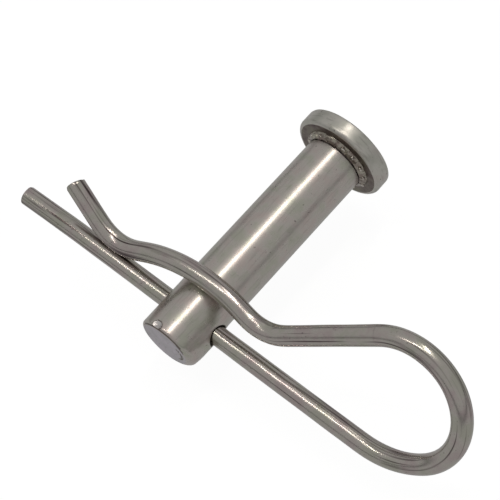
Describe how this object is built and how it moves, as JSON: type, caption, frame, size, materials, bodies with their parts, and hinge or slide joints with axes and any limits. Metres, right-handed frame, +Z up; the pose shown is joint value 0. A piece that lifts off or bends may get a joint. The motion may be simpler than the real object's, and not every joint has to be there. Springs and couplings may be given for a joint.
{
  "type": "hitch pin lock",
  "caption": "Headed clevis pin with a cross hole, locked by a looped spring clip whose straight leg passes through the hole and whose bent leg saddles the shank.",
  "frame": {"origin": "centre of the head's underside, on the pin's axis", "axes": "+Z up from the floor that the assembly lies on; +Y along the clip's straight leg (rolled down 6.46 degrees) towards its loop; +X along the pin towards its nose, which dips 4.35 degrees"},
  "size_m": [0.045, 0.084, 0.0214],
  "materials": {
    "shank_steel": "satin, drawn along its length",
    "head_steel": "satin, turned",
    "weld_bead": "rough, heat tinted",
    "spring_wire": "bright drawn wire with dark draw lines"
  },
  "bodies": {
    "pin": {"pin_shank": "shank_steel", "pin_head": "head_steel", "head_weld": "weld_bead"},
    "straight_leg": {"clip_straight_leg": "spring_wire"},
    "loop": {"clip_loop": "spring_wire"},
    "grip_leg": {"clip_grip_leg": "spring_wire"}
  },
  "joints": [
    {"name": "clip_slide", "type": "slide", "parent": "pin", "child": "straight_leg", "axis": [-0.0086, 0.9937, -0.1122], "range_m": [0, 0.045]},
    {"name": "clip_swing", "type": "hinge", "parent": "straight_leg", "child": "loop", "pos_m": [0.03505, 0, -0.0027], "axis": [-0.0086, 0.9937, -0.1122], "range_deg": [0, 62]},
    {"name": "leg_spread", "type": "hinge", "parent": "loop", "child": "grip_leg", "pos_m": [0.02975, 0.04673, 0.00186], "axis": [-0.894, -0.0579, -0.4444], "range_deg": [0, 14.5]}
  ],
  "couplings": [
    {"joint": "leg_spread", "follows": "clip_slide", "rad_per_m": 5.6}
  ]
}
